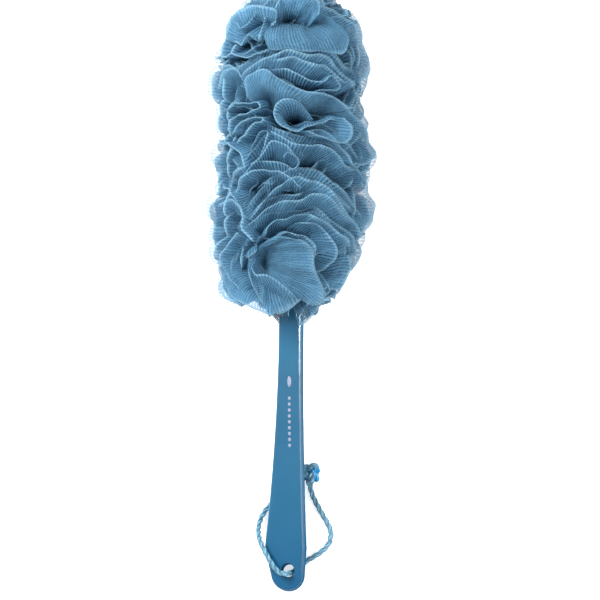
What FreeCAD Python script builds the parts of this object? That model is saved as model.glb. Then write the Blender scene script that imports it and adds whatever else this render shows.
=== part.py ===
"""Loofah back scrubber: a bowed plastic handle whose stem carries six tied bunches of netting,
and a twisted hanging cord through the hole in its tail.

Millimetres. +Z is up, +Y runs from the tail to the head, and z = 0 is the surface that the
scrubber lies on with its face upwards. X = 0 is the middle of the head.
"""
import FreeCAD, Part
import Sketcher
import math
import os
from FreeCAD import Placement, Rotation, Vector

DIMENSIONS = {
    # handle, seen from the side
    "bar_thickness": 9.5,
    "neck_y": -19.0,
    "neck_z": 42.0,
    "head_tilt": 5.0,
    "bow_radius": 957.0,
    "stem_end_y": 205.0,
    # handle, seen from above
    "tip_y": -214.5,
    "tip_x": -4.5,
    "tip_radius": 12.0,
    "heel_y": -184.5,
    "heel_left": 20.6,
    "heel_right": 9.4,
    "heel_round": 14.0,
    "neck_half": 8.6,
    "stem_half": 6.0,
    "edge_round": 2.5,
    "end_margin": 8.0,
    # hanging hole
    "hole_x": -3.6,
    "hole_y": -200.0,
    "hole_diameter": 9.5,
    "hole_round": 0.8,
    # netting bunches along the stem
    "first_bunch": 19.9,
    "bunch_pitch": 38.2,
    "bunch_gap": 0.3,
    "tie_slit": 3.4,
    "tie_diameter": 2.4,
    "root_radius": 9.0,
    "root_clearance": 0.05,
    "tie_clearance": 0.1,
    "bunch_radius_1": 50.0,
    "bunch_radius_2": 57.0,
    "bunch_radius_3": 59.0,
    "bunch_radius_4": 59.0,
    "bunch_radius_5": 57.5,
    "bunch_radius_6": 52.5,
    # hanging cord and its knot
    "cord_diameter": 3.5,
    "knot_x": 10.0,
    "knot_y": -127.6,
    "knot_z": 5.8,
    "knot_width": 12.4,
    "knot_length": 15.6,
    "knot_height": 11.4,
    "end_diameter": 3.9,
    "end_length": 8.6,
    "near_end_heading": -50.0,
    "near_end_rise": -4.0,
    "far_end_heading": 28.0,
    "far_end_rise": 12.0,
}

BUNCHES = 6

# An edge shorter than this in some direction, in mm, has no length that way.
HAIR = 0.01
# Two places closer than this, in mm, are the same one.
NEAR = 0.1
# The bend line where the bowed bar meets the straight stem is shallower than this, in mm.
SEAM_DEPTH = 0.6
# A cut that takes away less than this, in cubic mm, has missed its solid.
LEAST_CUT = 400
# A cord's solid may differ from its section times its length by this share.
VOLUME_SLACK = 0.01

# The cord's route, from the knot under the handle, up over its left edge, down through the hole
# and back along the surface to the knot.
CORD_ROUTE = [
    (6.6, -130.6, 4.4),
    (-1.6, -137.4, 2.2),
    (-11.0, -143.8, 1.8),
    (-19.8, -150.8, 1.8),
    (-26.0, -159.6, 3.2),
    (-26.9, -169.0, 9.0),
    (-24.7, -176.8, 17.0),
    (-20.6, -184.2, 22.8),
    (-15.8, -192.8, 20.8),
    (-9.8, -200.8, 17.6),
    (-1.9, -202.3, 15.2),
    (-2.5, -201.0, 1.9),
    (3.4, -195.2, 1.85),
    (10.6, -190.6, 1.8),
    (18.6, -185.8, 1.8),
    (24.8, -179.2, 1.8),
    (25.7, -170.2, 1.8),
    (20.9, -161.6, 1.8),
    (14.6, -151.4, 1.8),
    (9.6, -141.2, 2.6),
    (8.8, -132.0, 4.4),
]
# The share of a straight run that the arc at each of its ends takes up.
ARC_SHARE = 0.45

doc = FreeCAD.newDocument("loofah_back_scrubber")
sheet = doc.addObject("Spreadsheet::Sheet", "dims")
for row, (alias, number) in enumerate(DIMENSIONS.items(), start=1):
    sheet.set(f"A{row}", alias)
    sheet.set(f"B{row}", str(number))
    sheet.setAlias(f"B{row}", alias)
doc.recompute()


def size(alias):
    """The number in the sheet's cell with this alias."""
    return float(sheet.get(alias))


def new_body(name):
    body = doc.addObject("PartDesign::Body", name)
    body.Label = name
    return body


def new_sketch(body, name, plane):
    """A sketch on one of the body's own origin planes."""
    sketch = body.newObject("Sketcher::SketchObject", name)
    support = next(part for part in body.Origin.OriginFeatures if part.Role == plane)
    sketch.AttachmentSupport = [(support, "")]
    sketch.MapMode = "FlatFace"
    return sketch


def bind(sketch, constraint, expression, name):
    """Adds a dimension to the sketch and ties it to the sheet."""
    index = sketch.addConstraint(constraint)
    sketch.renameConstraint(index, name)
    sketch.setExpression(f"Constraints.{name}", expression)


def pin(sketch, element, end, point, name, across=None, up=None):
    """Fixes one end of an element by its distances from the sketch's origin."""
    if across is not None:
        rule = Sketcher.Constraint("DistanceX", -1, 1, element, end, point.x)
        bind(sketch, rule, across, f"{name}_across")
    if up is not None:
        rule = Sketcher.Constraint("DistanceY", -1, 1, element, end, point.y)
        bind(sketch, rule, up, f"{name}_up")


def close_ring(sketch, elements):
    """Joins each element's end to the next one's start, all the way round."""
    for (this, end), (other, start) in elements:
        sketch.addConstraint(Sketcher.Constraint("Coincident", this, end, other, start))


def line(start, end):
    return Part.LineSegment(start, end)


def arc_about(centre, radius, first, last):
    """A counter-clockwise arc between two angles in radians."""
    return Part.ArcOfCircle(Part.Circle(centre, Vector(0, 0, 1), radius), first, last)


# ---------------------------------------------------------------- handle

def draw_side_profile(body):
    """The bar from the side: a straight tilted stem that runs on into the bowed grip."""
    sketch = new_sketch(body, "side_profile", "YZ_Plane")
    half = size("bar_thickness") / 2
    tilt = math.radians(size("head_tilt"))
    bow = size("bow_radius")
    tail_cut = size("tip_y") - size("end_margin")
    centre = Vector(size("neck_y") + bow * math.sin(tilt), size("neck_z") - bow * math.cos(tilt), 0)
    neck_angle = math.pi / 2 + tilt

    def on_bow(radius, angle):
        return centre + Vector(radius * math.cos(angle), radius * math.sin(angle), 0)

    def tail_angle(radius):
        return math.acos((tail_cut - centre.x) / radius)

    def on_stem(offset, across):
        start = on_bow(bow + offset, neck_angle)
        return start + Vector(1, math.tan(tilt), 0) * (across - start.x)

    top_neck = on_bow(bow + half, neck_angle)
    low_neck = on_bow(bow - half, neck_angle)
    top_end = on_stem(half, size("stem_end_y"))
    low_end = on_stem(-half, size("stem_end_y"))
    top_tail = on_bow(bow + half, tail_angle(bow + half))
    low_tail = on_bow(bow - half, tail_angle(bow - half))
    elements = [
        line(top_neck, top_end),
        arc_about(centre, bow + half, neck_angle, tail_angle(bow + half)),
        line(top_tail, low_tail),
        arc_about(centre, bow - half, neck_angle, tail_angle(bow - half)),
        line(low_neck, low_end),
        line(low_end, top_end),
    ]
    stem_top, bow_top, tail_end, bow_low, stem_low, stem_end = sketch.addGeometry(elements, False)
    for joint in [
        ("Tangent", stem_top, 1, bow_top, 1),
        ("Coincident", bow_top, 2, tail_end, 1),
        ("Coincident", tail_end, 2, bow_low, 2),
        ("Tangent", bow_low, 1, stem_low, 1),
        ("Coincident", stem_low, 2, stem_end, 1),
        ("Coincident", stem_end, 2, stem_top, 2),
        ("Coincident", bow_top, 3, bow_low, 3),
        ("Vertical", tail_end),
        ("Vertical", stem_end),
    ]:
        sketch.addConstraint(Sketcher.Constraint(*joint))
    bind(sketch, Sketcher.Constraint("Angle", stem_top, tilt), "dims.head_tilt * 1 deg", "tilt")
    pin(
        sketch, bow_top, 3, centre, "centre",
        across="dims.neck_y + dims.bow_radius * sin(dims.head_tilt)",
        up="dims.neck_z - dims.bow_radius * cos(dims.head_tilt)",
    )
    top_radius = Sketcher.Constraint("Radius", bow_top, bow + half)
    bind(sketch, top_radius, "dims.bow_radius + dims.bar_thickness / 2", "top_radius")
    low_radius = Sketcher.Constraint("Radius", bow_low, bow - half)
    bind(sketch, low_radius, "dims.bow_radius - dims.bar_thickness / 2", "low_radius")
    pin(sketch, stem_end, 1, low_end, "stem_end", across="dims.stem_end_y")
    pin(sketch, tail_end, 1, top_tail, "tail_cut", across="dims.tip_y - dims.end_margin")
    return sketch


def draw_plan_outline(body):
    """The frame that is cut away around the bar, with the handle's outline as its inner edge."""
    sketch = new_sketch(body, "plan_outline", "XY_Plane")
    neck = size("neck_half")
    stem = size("stem_half")
    heel_y = size("heel_y")
    neck_y = size("neck_y")
    end_y = size("stem_end_y")
    tip = Vector(size("tip_x"), size("tip_y") + size("tip_radius"), 0)
    margin = size("end_margin")

    def flare(side, heel):
        """An edge of the grip: upright at the neck, and swinging out to the heel."""
        rise = heel - neck
        run = neck_y - heel_y
        radius = (run ** 2 + rise ** 2) / (2 * rise)
        centre = Vector(side * (neck + radius), neck_y, 0)
        swing = math.asin(run / radius)
        if side < 0:
            return arc_about(centre, radius, -swing, 0)
        return arc_about(centre, radius, math.pi, math.pi + swing)

    def touch_angle(side, heel):
        """Where the straight from the heel touches the round tip."""
        offset = Vector(side * heel, heel_y, 0) - tip
        return math.atan2(offset.y, offset.x) - side * math.acos(size("tip_radius") / offset.Length)

    def on_tip(angle):
        return tip + Vector(math.cos(angle), math.sin(angle), 0) * size("tip_radius")

    left_touch = touch_angle(-1, size("heel_left"))
    right_touch = touch_angle(1, size("heel_right"))
    left_heel = Vector(-size("heel_left"), heel_y, 0)
    right_heel = Vector(size("heel_right"), heel_y, 0)
    ring = [
        flare(-1, size("heel_left")),
        line(left_heel, on_tip(left_touch)),
        arc_about(tip, size("tip_radius"), left_touch % math.tau, right_touch % math.tau),
        line(on_tip(right_touch), right_heel),
        flare(1, size("heel_right")),
        line(Vector(neck, neck_y, 0), Vector(stem, neck_y, 0)),
        line(Vector(stem, neck_y, 0), Vector(stem, end_y, 0)),
        line(Vector(stem, end_y, 0), Vector(-stem, end_y, 0)),
        line(Vector(-stem, end_y, 0), Vector(-stem, neck_y, 0)),
        line(Vector(-stem, neck_y, 0), Vector(-neck, neck_y, 0)),
    ]
    names = sketch.addGeometry(ring, False)
    left_flare, left_line, tip_arc, right_line, right_flare = names[:5]
    right_step, right_stem, stem_top, left_stem, left_step = names[5:]
    close_ring(sketch, [
        ((left_flare, 1), (left_line, 1)),
        ((right_line, 2), (right_flare, 2)),
        ((right_flare, 1), (right_step, 1)),
        ((right_step, 2), (right_stem, 1)),
        ((right_stem, 2), (stem_top, 1)),
        ((stem_top, 2), (left_stem, 1)),
        ((left_stem, 2), (left_step, 1)),
        ((left_step, 2), (left_flare, 2)),
    ])
    sketch.addConstraint(Sketcher.Constraint("Tangent", left_line, 2, tip_arc, 1))
    sketch.addConstraint(Sketcher.Constraint("Tangent", right_line, 1, tip_arc, 2))
    for element in (right_step, stem_top, left_step):
        sketch.addConstraint(Sketcher.Constraint("Horizontal", element))
    for element in (right_stem, left_stem):
        sketch.addConstraint(Sketcher.Constraint("Vertical", element))
    pin(sketch, left_flare, 1, left_heel, "left_heel", "-dims.heel_left", "dims.heel_y")
    pin(sketch, right_flare, 2, right_heel, "right_heel", "dims.heel_right", "dims.heel_y")
    pin(sketch, right_step, 1, Vector(neck, neck_y, 0), "right_neck", "dims.neck_half", "dims.neck_y")
    pin(sketch, left_step, 2, Vector(-neck, neck_y, 0), "left_neck", "-dims.neck_half", "dims.neck_y")
    pin(sketch, right_stem, 2, Vector(stem, end_y, 0), "right_end", "dims.stem_half", "dims.stem_end_y")
    pin(sketch, left_stem, 1, Vector(-stem, end_y, 0), "left_end", "-dims.stem_half")
    pin(
        sketch, tip_arc, 3, tip, "tip_centre",
        "dims.tip_x", "dims.tip_y + dims.tip_radius",
    )
    tip_radius = Sketcher.Constraint("Radius", tip_arc, size("tip_radius"))
    bind(sketch, tip_radius, "dims.tip_radius", "tip_radius")
    for element, side in ((left_flare, "left"), (right_flare, "right")):
        rise = f"(dims.heel_{side} - dims.neck_half)"
        run = "(dims.neck_y - dims.heel_y)"
        radius = Sketcher.Constraint("Radius", element, ring[element].Radius)
        bind(sketch, radius, f"({run}^2 + {rise}^2) / (2 * {rise})", f"{side}_flare")

    wide = size("heel_left") + margin
    corners = [
        Vector(-wide, size("tip_y") - 2 * margin, 0),
        Vector(wide, size("tip_y") - 2 * margin, 0),
        Vector(wide, end_y + margin, 0),
        Vector(-wide, end_y + margin, 0),
    ]
    frame = sketch.addGeometry(
        [line(corners[step], corners[(step + 1) % 4]) for step in range(4)], False
    )
    for step in range(4):
        start = frame[(step + 1) % 4]
        sketch.addConstraint(Sketcher.Constraint("Coincident", frame[step], 2, start, 1))
    for step in (0, 2):
        sketch.addConstraint(Sketcher.Constraint("Horizontal", frame[step]))
        sketch.addConstraint(Sketcher.Constraint("Vertical", frame[step + 1]))
    pin(
        sketch, frame[0], 1, corners[0], "frame_low",
        "-dims.heel_left - dims.end_margin", "dims.tip_y - 2 * dims.end_margin",
    )
    pin(
        sketch, frame[2], 1, corners[2], "frame_high",
        "dims.heel_left + dims.end_margin", "dims.stem_end_y + dims.end_margin",
    )
    return sketch


def edge_names(shape, wanted):
    return [f"Edge{index}" for index, edge in enumerate(shape.Edges, start=1) if wanted(edge)]


def is_upright(edge):
    """True for an edge that runs straight up and down."""
    box = edge.BoundBox
    return box.XLength < HAIR and box.YLength < HAIR


def add_fillet(body, name, base, edges, radius):
    fillet = body.newObject("PartDesign::Fillet", name)
    fillet.Base = (base, edges)
    fillet.setExpression("Radius", radius)
    doc.recompute()
    return fillet


def make_handle():
    body = new_body("handle")
    pad = body.newObject("PartDesign::Pad", "bar")
    pad.Profile = draw_side_profile(body)
    pad.Midplane = True
    pad.setExpression("Length", "2 * dims.heel_left + dims.end_margin")
    doc.recompute()

    trim = body.newObject("PartDesign::Pocket", "outline_cut")
    trim.Profile = draw_plan_outline(body)
    trim.Type = "ThroughAll"
    trim.Midplane = True
    doc.recompute()
    assert trim.Shape.Volume < pad.Shape.Volume - LEAST_CUT

    heel_y = size("heel_y")
    heels = edge_names(
        trim.Shape, lambda edge: is_upright(edge) and abs(edge.BoundBox.YMin - heel_y) < NEAR
    )
    rounded_heels = add_fillet(body, "heel_rounding", trim, heels, "dims.heel_round")

    hole_plan = new_sketch(body, "hole_plan", "XY_Plane")
    middle = Vector(size("hole_x"), size("hole_y"), 0)
    circle = Part.Circle(middle, Vector(0, 0, 1), size("hole_diameter") / 2)
    ring = hole_plan.addGeometry(circle, False)
    pin(hole_plan, ring, 3, middle, "middle", "dims.hole_x", "dims.hole_y")
    across = Sketcher.Constraint("Diameter", ring, size("hole_diameter"))
    bind(hole_plan, across, "dims.hole_diameter", "across")
    hole = body.newObject("PartDesign::Pocket", "hanging_hole")
    hole.Profile = hole_plan
    hole.Type = "ThroughAll"
    hole.Midplane = True
    doc.recompute()
    assert hole.Shape.Volume < rounded_heels.Shape.Volume - LEAST_CUT

    def is_hole_rim(edge):
        box = edge.BoundBox
        round_hole = abs(box.XLength - size("hole_diameter")) < NEAR
        return round_hole and abs(box.Center.x - size("hole_x")) < NEAR

    rims = edge_names(hole.Shape, is_hole_rim)
    rounded_hole = add_fillet(body, "hole_rounding", hole, rims, "dims.hole_round")

    def is_long_edge(edge):
        box = edge.BoundBox
        near_hole = abs(box.Center.x - size("hole_x")) < NEAR and box.XLength < size("tip_radius")
        seam = box.YLength < SEAM_DEPTH and box.XLength > 2 * size("stem_half")
        step = box.YLength < HAIR
        return not is_upright(edge) and not near_hole and not seam and not step

    long_edges = edge_names(rounded_hole.Shape, is_long_edge)
    body.Tip = add_fillet(body, "edge_rounding", rounded_hole, long_edges, "dims.edge_round")
    return body


# ---------------------------------------------------------------- netting and its ties

STEM_STATION = "(dims.first_bunch + {index} * dims.bunch_pitch)"


def put_on_stem(part, index):
    """Moves a piece that is built about its own Y axis onto the tilted stem."""
    station = STEM_STATION.format(index=index)
    part.Placement = Placement(Vector(), Rotation(Vector(1, 0, 0), size("head_tilt")))
    part.setExpression("Placement.Rotation.Angle", "dims.head_tilt * 1 deg")
    part.setExpression("Placement.Base.y", f"dims.neck_y + {station} * cos(dims.head_tilt)")
    part.setExpression("Placement.Base.z", f"dims.neck_z + {station} * sin(dims.head_tilt)")


def draw_bunch_profile(body, number):
    """Half a bunch in section: two round-edged ruffles on a root, with the tie's slit between."""
    sketch = new_sketch(body, f"bunch_profile_{number}", "XY_Plane")
    half = (size("bunch_pitch") - size("bunch_gap")) / 2
    slit = size("tie_slit") / 2
    lip = (half - slit) / 2
    root = size("root_radius")
    shoulder = size(f"bunch_radius_{number}") - lip
    upper = Vector(shoulder, (half + slit) / 2, 0)
    lower = Vector(shoulder, -(half + slit) / 2, 0)
    quarter = math.pi / 2
    elements = [
        line(Vector(0, -half, 0), Vector(shoulder, -half, 0)),
        arc_about(lower, lip, -quarter, quarter),
        line(Vector(shoulder, -slit, 0), Vector(root, -slit, 0)),
        line(Vector(root, -slit, 0), Vector(root, slit, 0)),
        line(Vector(root, slit, 0), Vector(shoulder, slit, 0)),
        arc_about(upper, lip, -quarter, quarter),
        line(Vector(shoulder, half, 0), Vector(0, half, 0)),
        line(Vector(0, half, 0), Vector(0, -half, 0)),
    ]
    names = sketch.addGeometry(elements, False)
    low_side, low_lip, low_wall, floor, high_wall, high_lip, high_side, core = names
    for joint in [
        ("Tangent", low_side, 2, low_lip, 1),
        ("Tangent", low_lip, 2, low_wall, 1),
        ("Coincident", low_wall, 2, floor, 1),
        ("Coincident", floor, 2, high_wall, 1),
        ("Tangent", high_wall, 2, high_lip, 1),
        ("Tangent", high_lip, 2, high_side, 1),
        ("Coincident", high_side, 2, core, 1),
        ("Coincident", core, 2, low_side, 1),
        ("Horizontal", low_side),
        ("Horizontal", high_wall),
        ("Vertical", floor),
        ("Vertical", core),
        ("PointOnObject", core, 1, -2),
    ]:
        sketch.addConstraint(Sketcher.Constraint(*joint))
    half_length = "(dims.bunch_pitch - dims.bunch_gap) / 2"
    half_slit = "dims.tie_slit / 2"
    shoulder_rule = f"dims.bunch_radius_{number} - ({half_length} - {half_slit}) / 2"
    pin(sketch, core, 1, Vector(0, half, 0), "high_side", up=half_length)
    pin(sketch, core, 2, Vector(0, -half, 0), "low_side", up=f"-({half_length})")
    pin(sketch, floor, 1, Vector(root, -slit, 0), "slit_low", "dims.root_radius", f"-({half_slit})")
    pin(sketch, floor, 2, Vector(root, slit, 0), "slit_high", up=half_slit)
    pin(sketch, low_lip, 3, lower, "low_lip", across=shoulder_rule)
    pin(sketch, high_lip, 3, upper, "high_lip", across=shoulder_rule)
    return sketch


def draw_bore(body, number):
    """The rectangular way through a bunch that its stem fills."""
    sketch = new_sketch(body, f"bore_plan_{number}", "XZ_Plane")
    wide = size("stem_half") + size("root_clearance")
    deep = size("bar_thickness") / 2 + size("root_clearance")
    corners = [Vector(-wide, -deep), Vector(wide, -deep), Vector(wide, deep), Vector(-wide, deep)]
    sides = sketch.addGeometry(
        [line(corners[step], corners[(step + 1) % 4]) for step in range(4)], False
    )
    for step in range(4):
        after = sides[(step + 1) % 4]
        sketch.addConstraint(Sketcher.Constraint("Coincident", sides[step], 2, after, 1))
    for step in (0, 2):
        sketch.addConstraint(Sketcher.Constraint("Horizontal", sides[step]))
        sketch.addConstraint(Sketcher.Constraint("Vertical", sides[step + 1]))
    half_wide = "dims.stem_half + dims.root_clearance"
    half_deep = "dims.bar_thickness / 2 + dims.root_clearance"
    pin(sketch, sides[0], 1, corners[0], "low", f"-({half_wide})", f"-({half_deep})")
    pin(sketch, sides[2], 1, corners[2], "high", half_wide, half_deep)
    return sketch


def make_bunch(number, floor):
    """One bunch of netting, pressed flat where it meets the surface it lies on."""
    body = doc.addObject("PartDesign::Body", f"bunch_form_{number}")
    turned = body.newObject("PartDesign::Revolution", f"ruffles_{number}")
    turned.Profile = draw_bunch_profile(body, number)
    turned.ReferenceAxis = (turned.Profile[0], ["V_Axis"])
    turned.Angle = 360
    doc.recompute()
    bore = body.newObject("PartDesign::Pocket", f"stem_way_{number}")
    bore.Profile = draw_bore(body, number)
    bore.Type = "ThroughAll"
    bore.Midplane = True
    doc.recompute()
    assert bore.Shape.Volume < turned.Shape.Volume - LEAST_CUT
    body.Tip = bore
    put_on_stem(body, number - 1)
    bunch = doc.addObject("Part::Cut", f"mesh_pouf_{number}")
    bunch.Base = body
    bunch.Tool = floor
    bunch.Label = f"mesh_pouf_{number}"
    return bunch


def make_floor_block():
    """The space below the surface, which no netting enters."""
    block = doc.addObject("Part::Box", "below_surface")
    block.setExpression("Length", "4 * dims.bunch_radius_3")
    block.setExpression("Width", "3 * dims.stem_end_y")
    block.setExpression("Height", "2 * dims.bunch_radius_3")
    block.setExpression("Placement.Base.x", "-2 * dims.bunch_radius_3")
    block.setExpression("Placement.Base.y", "-dims.stem_end_y")
    block.setExpression("Placement.Base.z", "-2 * dims.bunch_radius_3")
    return block


def make_tie(number):
    """One turn of nylon cord round a bunch's root, drawn down in its slit."""
    ring = doc.addObject("Part::Torus", f"tie_ring_{number}")
    ring.setExpression(
        "Radius1", "dims.root_radius + dims.tie_clearance + dims.tie_diameter / 2"
    )
    ring.setExpression("Radius2", "dims.tie_diameter / 2")
    ring.Placement = Placement(Vector(), Rotation(Vector(1, 0, 0), 90))
    tie = doc.addObject("Part::Compound", f"tie_cord_{number}")
    tie.Links = [ring]
    tie.Label = f"tie_cord_{number}"
    put_on_stem(tie, number - 1)
    return tie


# ---------------------------------------------------------------- hanging cord

def rounded_path(points):
    """Straight runs joined by tangent arcs, each as large as its two runs allow."""
    edges = []
    radii = []
    start = points[0]
    for before, corner, after in zip(points, points[1:], points[2:]):
        incoming = (corner - before).normalize()
        outgoing = (after - corner).normalize()
        turn = incoming.getAngle(outgoing)
        reach = ARC_SHARE * min((corner - before).Length, (after - corner).Length)
        radii.append(reach / math.tan(turn / 2))
        enter = corner - incoming * reach
        leave = corner + outgoing * reach
        inward = (outgoing - incoming).normalize()
        middle = corner + inward * radii[-1] * (1 / math.cos(turn / 2) - 1)
        edges.append(Part.LineSegment(start, enter).toShape())
        edges.append(Part.Arc(enter, middle, leave).toShape())
        start = leave
    edges.append(Part.LineSegment(start, points[-1]).toShape())
    return Part.Wire(edges), radii


def make_cord():
    path, radii = rounded_path([Vector(*point) for point in CORD_ROUTE])
    diameter = size("cord_diameter")
    start = path.Edges[0]
    section = Part.Circle(start.Vertexes[0].Point, start.tangentAt(start.FirstParameter), diameter / 2)
    cord = doc.addObject("Part::Feature", "hang_cord")
    cord.Shape = path.makePipeShell([Part.Wire(section.toShape())], True, False)
    cord.Label = "hang_cord"
    expected = math.pi * diameter ** 2 / 4 * path.Length
    print("cord length", round(path.Length, 1), "radii", [round(radius, 1) for radius in radii])
    print("cord volume", round(cord.Shape.Volume, 1), "of", round(expected, 1))
    assert abs(cord.Shape.Volume / expected - 1) < VOLUME_SLACK
    return cord


def make_knot():
    """The overhand knot as one lump, with the two cut ends standing out of it."""
    lump = doc.addObject("Part::Ellipsoid", "knot_lump")
    lump.setExpression("Radius1", "dims.knot_height / 2")
    lump.setExpression("Radius2", "dims.knot_width / 2")
    lump.setExpression("Radius3", "dims.knot_length / 2")
    for axis in "xyz":
        lump.setExpression(f"Placement.Base.{axis}", f"dims.knot_{axis}")
    pieces = [lump]
    for name in ("near_end", "far_end"):
        end = doc.addObject("Part::Cylinder", name)
        end.setExpression("Radius", "dims.end_diameter / 2")
        end.setExpression("Height", "dims.end_length")
        heading = Rotation(Vector(0, 0, 1), size(f"{name}_heading"))
        lay = heading * Rotation(Vector(0, 1, 0), 90 - size(f"{name}_rise"))
        end.Placement = Placement(Vector(), lay)
        for axis in "xyz":
            end.setExpression(f"Placement.Base.{axis}", f"dims.knot_{axis}")
        pieces.append(end)
    knot = doc.addObject("Part::MultiFuse", "hang_knot")
    knot.Shapes = pieces
    knot.Label = "hang_knot"
    return knot


# ---------------------------------------------------------------- everything

def check_and_write(parts):
    """Stops on a failed feature or a bad shape, and otherwise writes one file for each part."""
    for item in doc.Objects:
        if "Invalid" in item.State or "Error" in item.State:
            raise RuntimeError(f"{item.Name} failed: {item.State}")
    for part in parts:
        if part.Shape.isNull() or not part.Shape.isValid():
            raise RuntimeError(f"{part.Label} has no valid shape")
    os.makedirs("parts", exist_ok=True)
    for part in parts:
        part.Shape.exportStep(f"parts/{part.Label}.step")
        box = part.Shape.optimalBoundingBox(False)
        print(
            f"{part.Label:14s} {part.Shape.Volume:10.0f} mm3  x {box.XMin:7.1f} {box.XMax:7.1f}"
            f"  y {box.YMin:7.1f} {box.YMax:7.1f}  z {box.ZMin:6.2f} {box.ZMax:6.1f}"
        )


below = make_floor_block()
parts = [make_handle()]
parts += [make_bunch(number, below) for number in range(1, BUNCHES + 1)]
parts += [make_tie(number) for number in range(1, BUNCHES + 1)]
parts += [make_cord(), make_knot()]
doc.recompute()
check_and_write(parts)
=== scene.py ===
# The looks of a loofah back scrubber: six gathered bunches of netting tied on the stem of a bowed plastic
# handle, with a twisted hanging cord through the hole in its tail. Everything is in metres.
import math

import bpy
import numpy as np
from mathutils import Matrix, Vector
from mathutils.bvhtree import BVHTree


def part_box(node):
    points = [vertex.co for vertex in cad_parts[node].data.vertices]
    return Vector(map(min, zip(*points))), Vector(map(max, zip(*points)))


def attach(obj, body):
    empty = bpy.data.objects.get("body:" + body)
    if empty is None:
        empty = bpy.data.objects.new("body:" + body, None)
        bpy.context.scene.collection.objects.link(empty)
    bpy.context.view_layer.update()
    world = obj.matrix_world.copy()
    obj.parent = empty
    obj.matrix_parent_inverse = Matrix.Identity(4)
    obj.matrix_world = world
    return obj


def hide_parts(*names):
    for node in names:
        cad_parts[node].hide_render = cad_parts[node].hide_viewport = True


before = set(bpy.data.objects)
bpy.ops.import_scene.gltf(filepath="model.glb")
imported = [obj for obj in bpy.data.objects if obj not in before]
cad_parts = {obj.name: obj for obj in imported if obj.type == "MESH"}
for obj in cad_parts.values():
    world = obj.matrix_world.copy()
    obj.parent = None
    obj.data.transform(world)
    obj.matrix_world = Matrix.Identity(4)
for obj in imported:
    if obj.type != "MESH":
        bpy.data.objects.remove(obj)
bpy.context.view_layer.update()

MM = 0.001
SCENE = bpy.context.scene
BUNCHES = 6


def unit(v):
    return v / np.linalg.norm(v)


# ---------------------------------------------------------------- where things are

# The ties lie round the stem, so their middles give its line.
TIE_CENTRES = [
    np.array((sum(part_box(f"tie_cord_{i}"), Vector()) / 2)) for i in range(1, BUNCHES + 1)
]
STEM = unit(TIE_CENTRES[-1] - TIE_CENTRES[0])
PITCH = np.linalg.norm(TIE_CENTRES[-1] - TIE_CENTRES[0]) / (BUNCHES - 1)
FIRST_TIE = 19.9 * MM
NECK = TIE_CENTRES[0] - FIRST_TIE * STEM
ROOT_RADIUS = 9.2 * MM
FLOOR_Z = -0.3 * MM

# The camera looks almost straight down on the brush, turned a little to its right and to its tail.
TURN = math.radians(11)
TILT = math.radians(7.5)
RIGHT = np.array((math.cos(TURN), math.sin(TURN) * math.sin(TILT), -math.sin(TURN) * math.cos(TILT)))
UP = np.array((0, math.cos(TILT), math.sin(TILT)))
BACK = np.cross(RIGHT, UP)

FACING = unit(BACK - np.dot(BACK, STEM) * STEM)
SIDE = np.cross(STEM, FACING)


def head_point(across, along, radius):
    """A point of the netting head in mm: across the stem as the camera sees it, along the stem from the
    neck, and at that radius from the stem's line."""
    turn = math.asin(max(-1, min(1, across / radius)))
    return around_stem(turn, along, max(radius, abs(across)))


def around_stem(turn, along, radius):
    out = math.cos(turn) * FACING + math.sin(turn) * SIDE
    return NECK + along * MM * STEM + radius * MM * out


# ---------------------------------------------------------------- camera

VIEW_WIDTH = 432 * MM
VIEW_DISTANCE = 5.0
VIEW_HEIGHT = 60 * MM
VIEW_MIDDLE = (-2.1 * MM, -1.2 * MM)


def make_camera():
    data = bpy.data.cameras.new("camera")
    data.sensor_width = 36
    data.lens = data.sensor_width * VIEW_DISTANCE / VIEW_WIDTH
    data.clip_start = 0.1
    data.clip_end = 100
    camera = bpy.data.objects.new("camera", data)
    SCENE.collection.objects.link(camera)
    place = VIEW_MIDDLE[0] * RIGHT + VIEW_MIDDLE[1] * UP + (VIEW_DISTANCE + VIEW_HEIGHT) * BACK
    turn = Matrix((RIGHT, UP, BACK)).transposed().to_4x4()
    camera.matrix_world = Matrix.Translation(Vector(place)) @ turn
    SCENE.camera = camera


make_camera()


# ---------------------------------------------------------------- shader nodes

def new_material(name):
    material = bpy.data.materials.new(name)
    material.use_nodes = True
    material.node_tree.nodes.clear()
    return material, material.node_tree


def node(tree, kind, inputs=None, **settings):
    """Adds a node. Each input is a socket to link from or a plain value, under its name or number."""
    made = tree.nodes.new(kind)
    for key, value in settings.items():
        setattr(made, key, value)
    for key, value in (inputs or {}).items():
        if isinstance(value, bpy.types.NodeSocket):
            tree.links.new(value, made.inputs[key])
        else:
            made.inputs[key].default_value = value
    return made


def maths(tree, operation, *values):
    return node(tree, "ShaderNodeMath", dict(enumerate(values)), operation=operation).outputs[0]


def remap(tree, value, low, high, to_low, to_high, smooth=False):
    kind = "SMOOTHSTEP" if smooth else "LINEAR"
    inputs = {"Value": value, 1: low, 2: high, 3: to_low, 4: to_high}
    return node(tree, "ShaderNodeMapRange", inputs, interpolation_type=kind).outputs[0]


def ramp(tree, value, stops):
    made = node(tree, "ShaderNodeValToRGB", {"Fac": value})
    band = made.color_ramp
    while len(band.elements) < len(stops):
        band.elements.new(0.5)
    for element, (place, colour) in zip(band.elements, stops):
        element.position = place
        element.color = (*colour, 1)
    return made.outputs["Color"]


def mix_colour(tree, factor, first, second, how="MIX"):
    made = node(tree, "ShaderNodeMix", {"Factor": factor}, data_type="RGBA", blend_type=how)
    for key, value in ((6, first), (7, second)):
        if isinstance(value, bpy.types.NodeSocket):
            tree.links.new(value, made.inputs[key])
        else:
            made.inputs[key].default_value = (*value, 1)
    return made.outputs[2]


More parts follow.
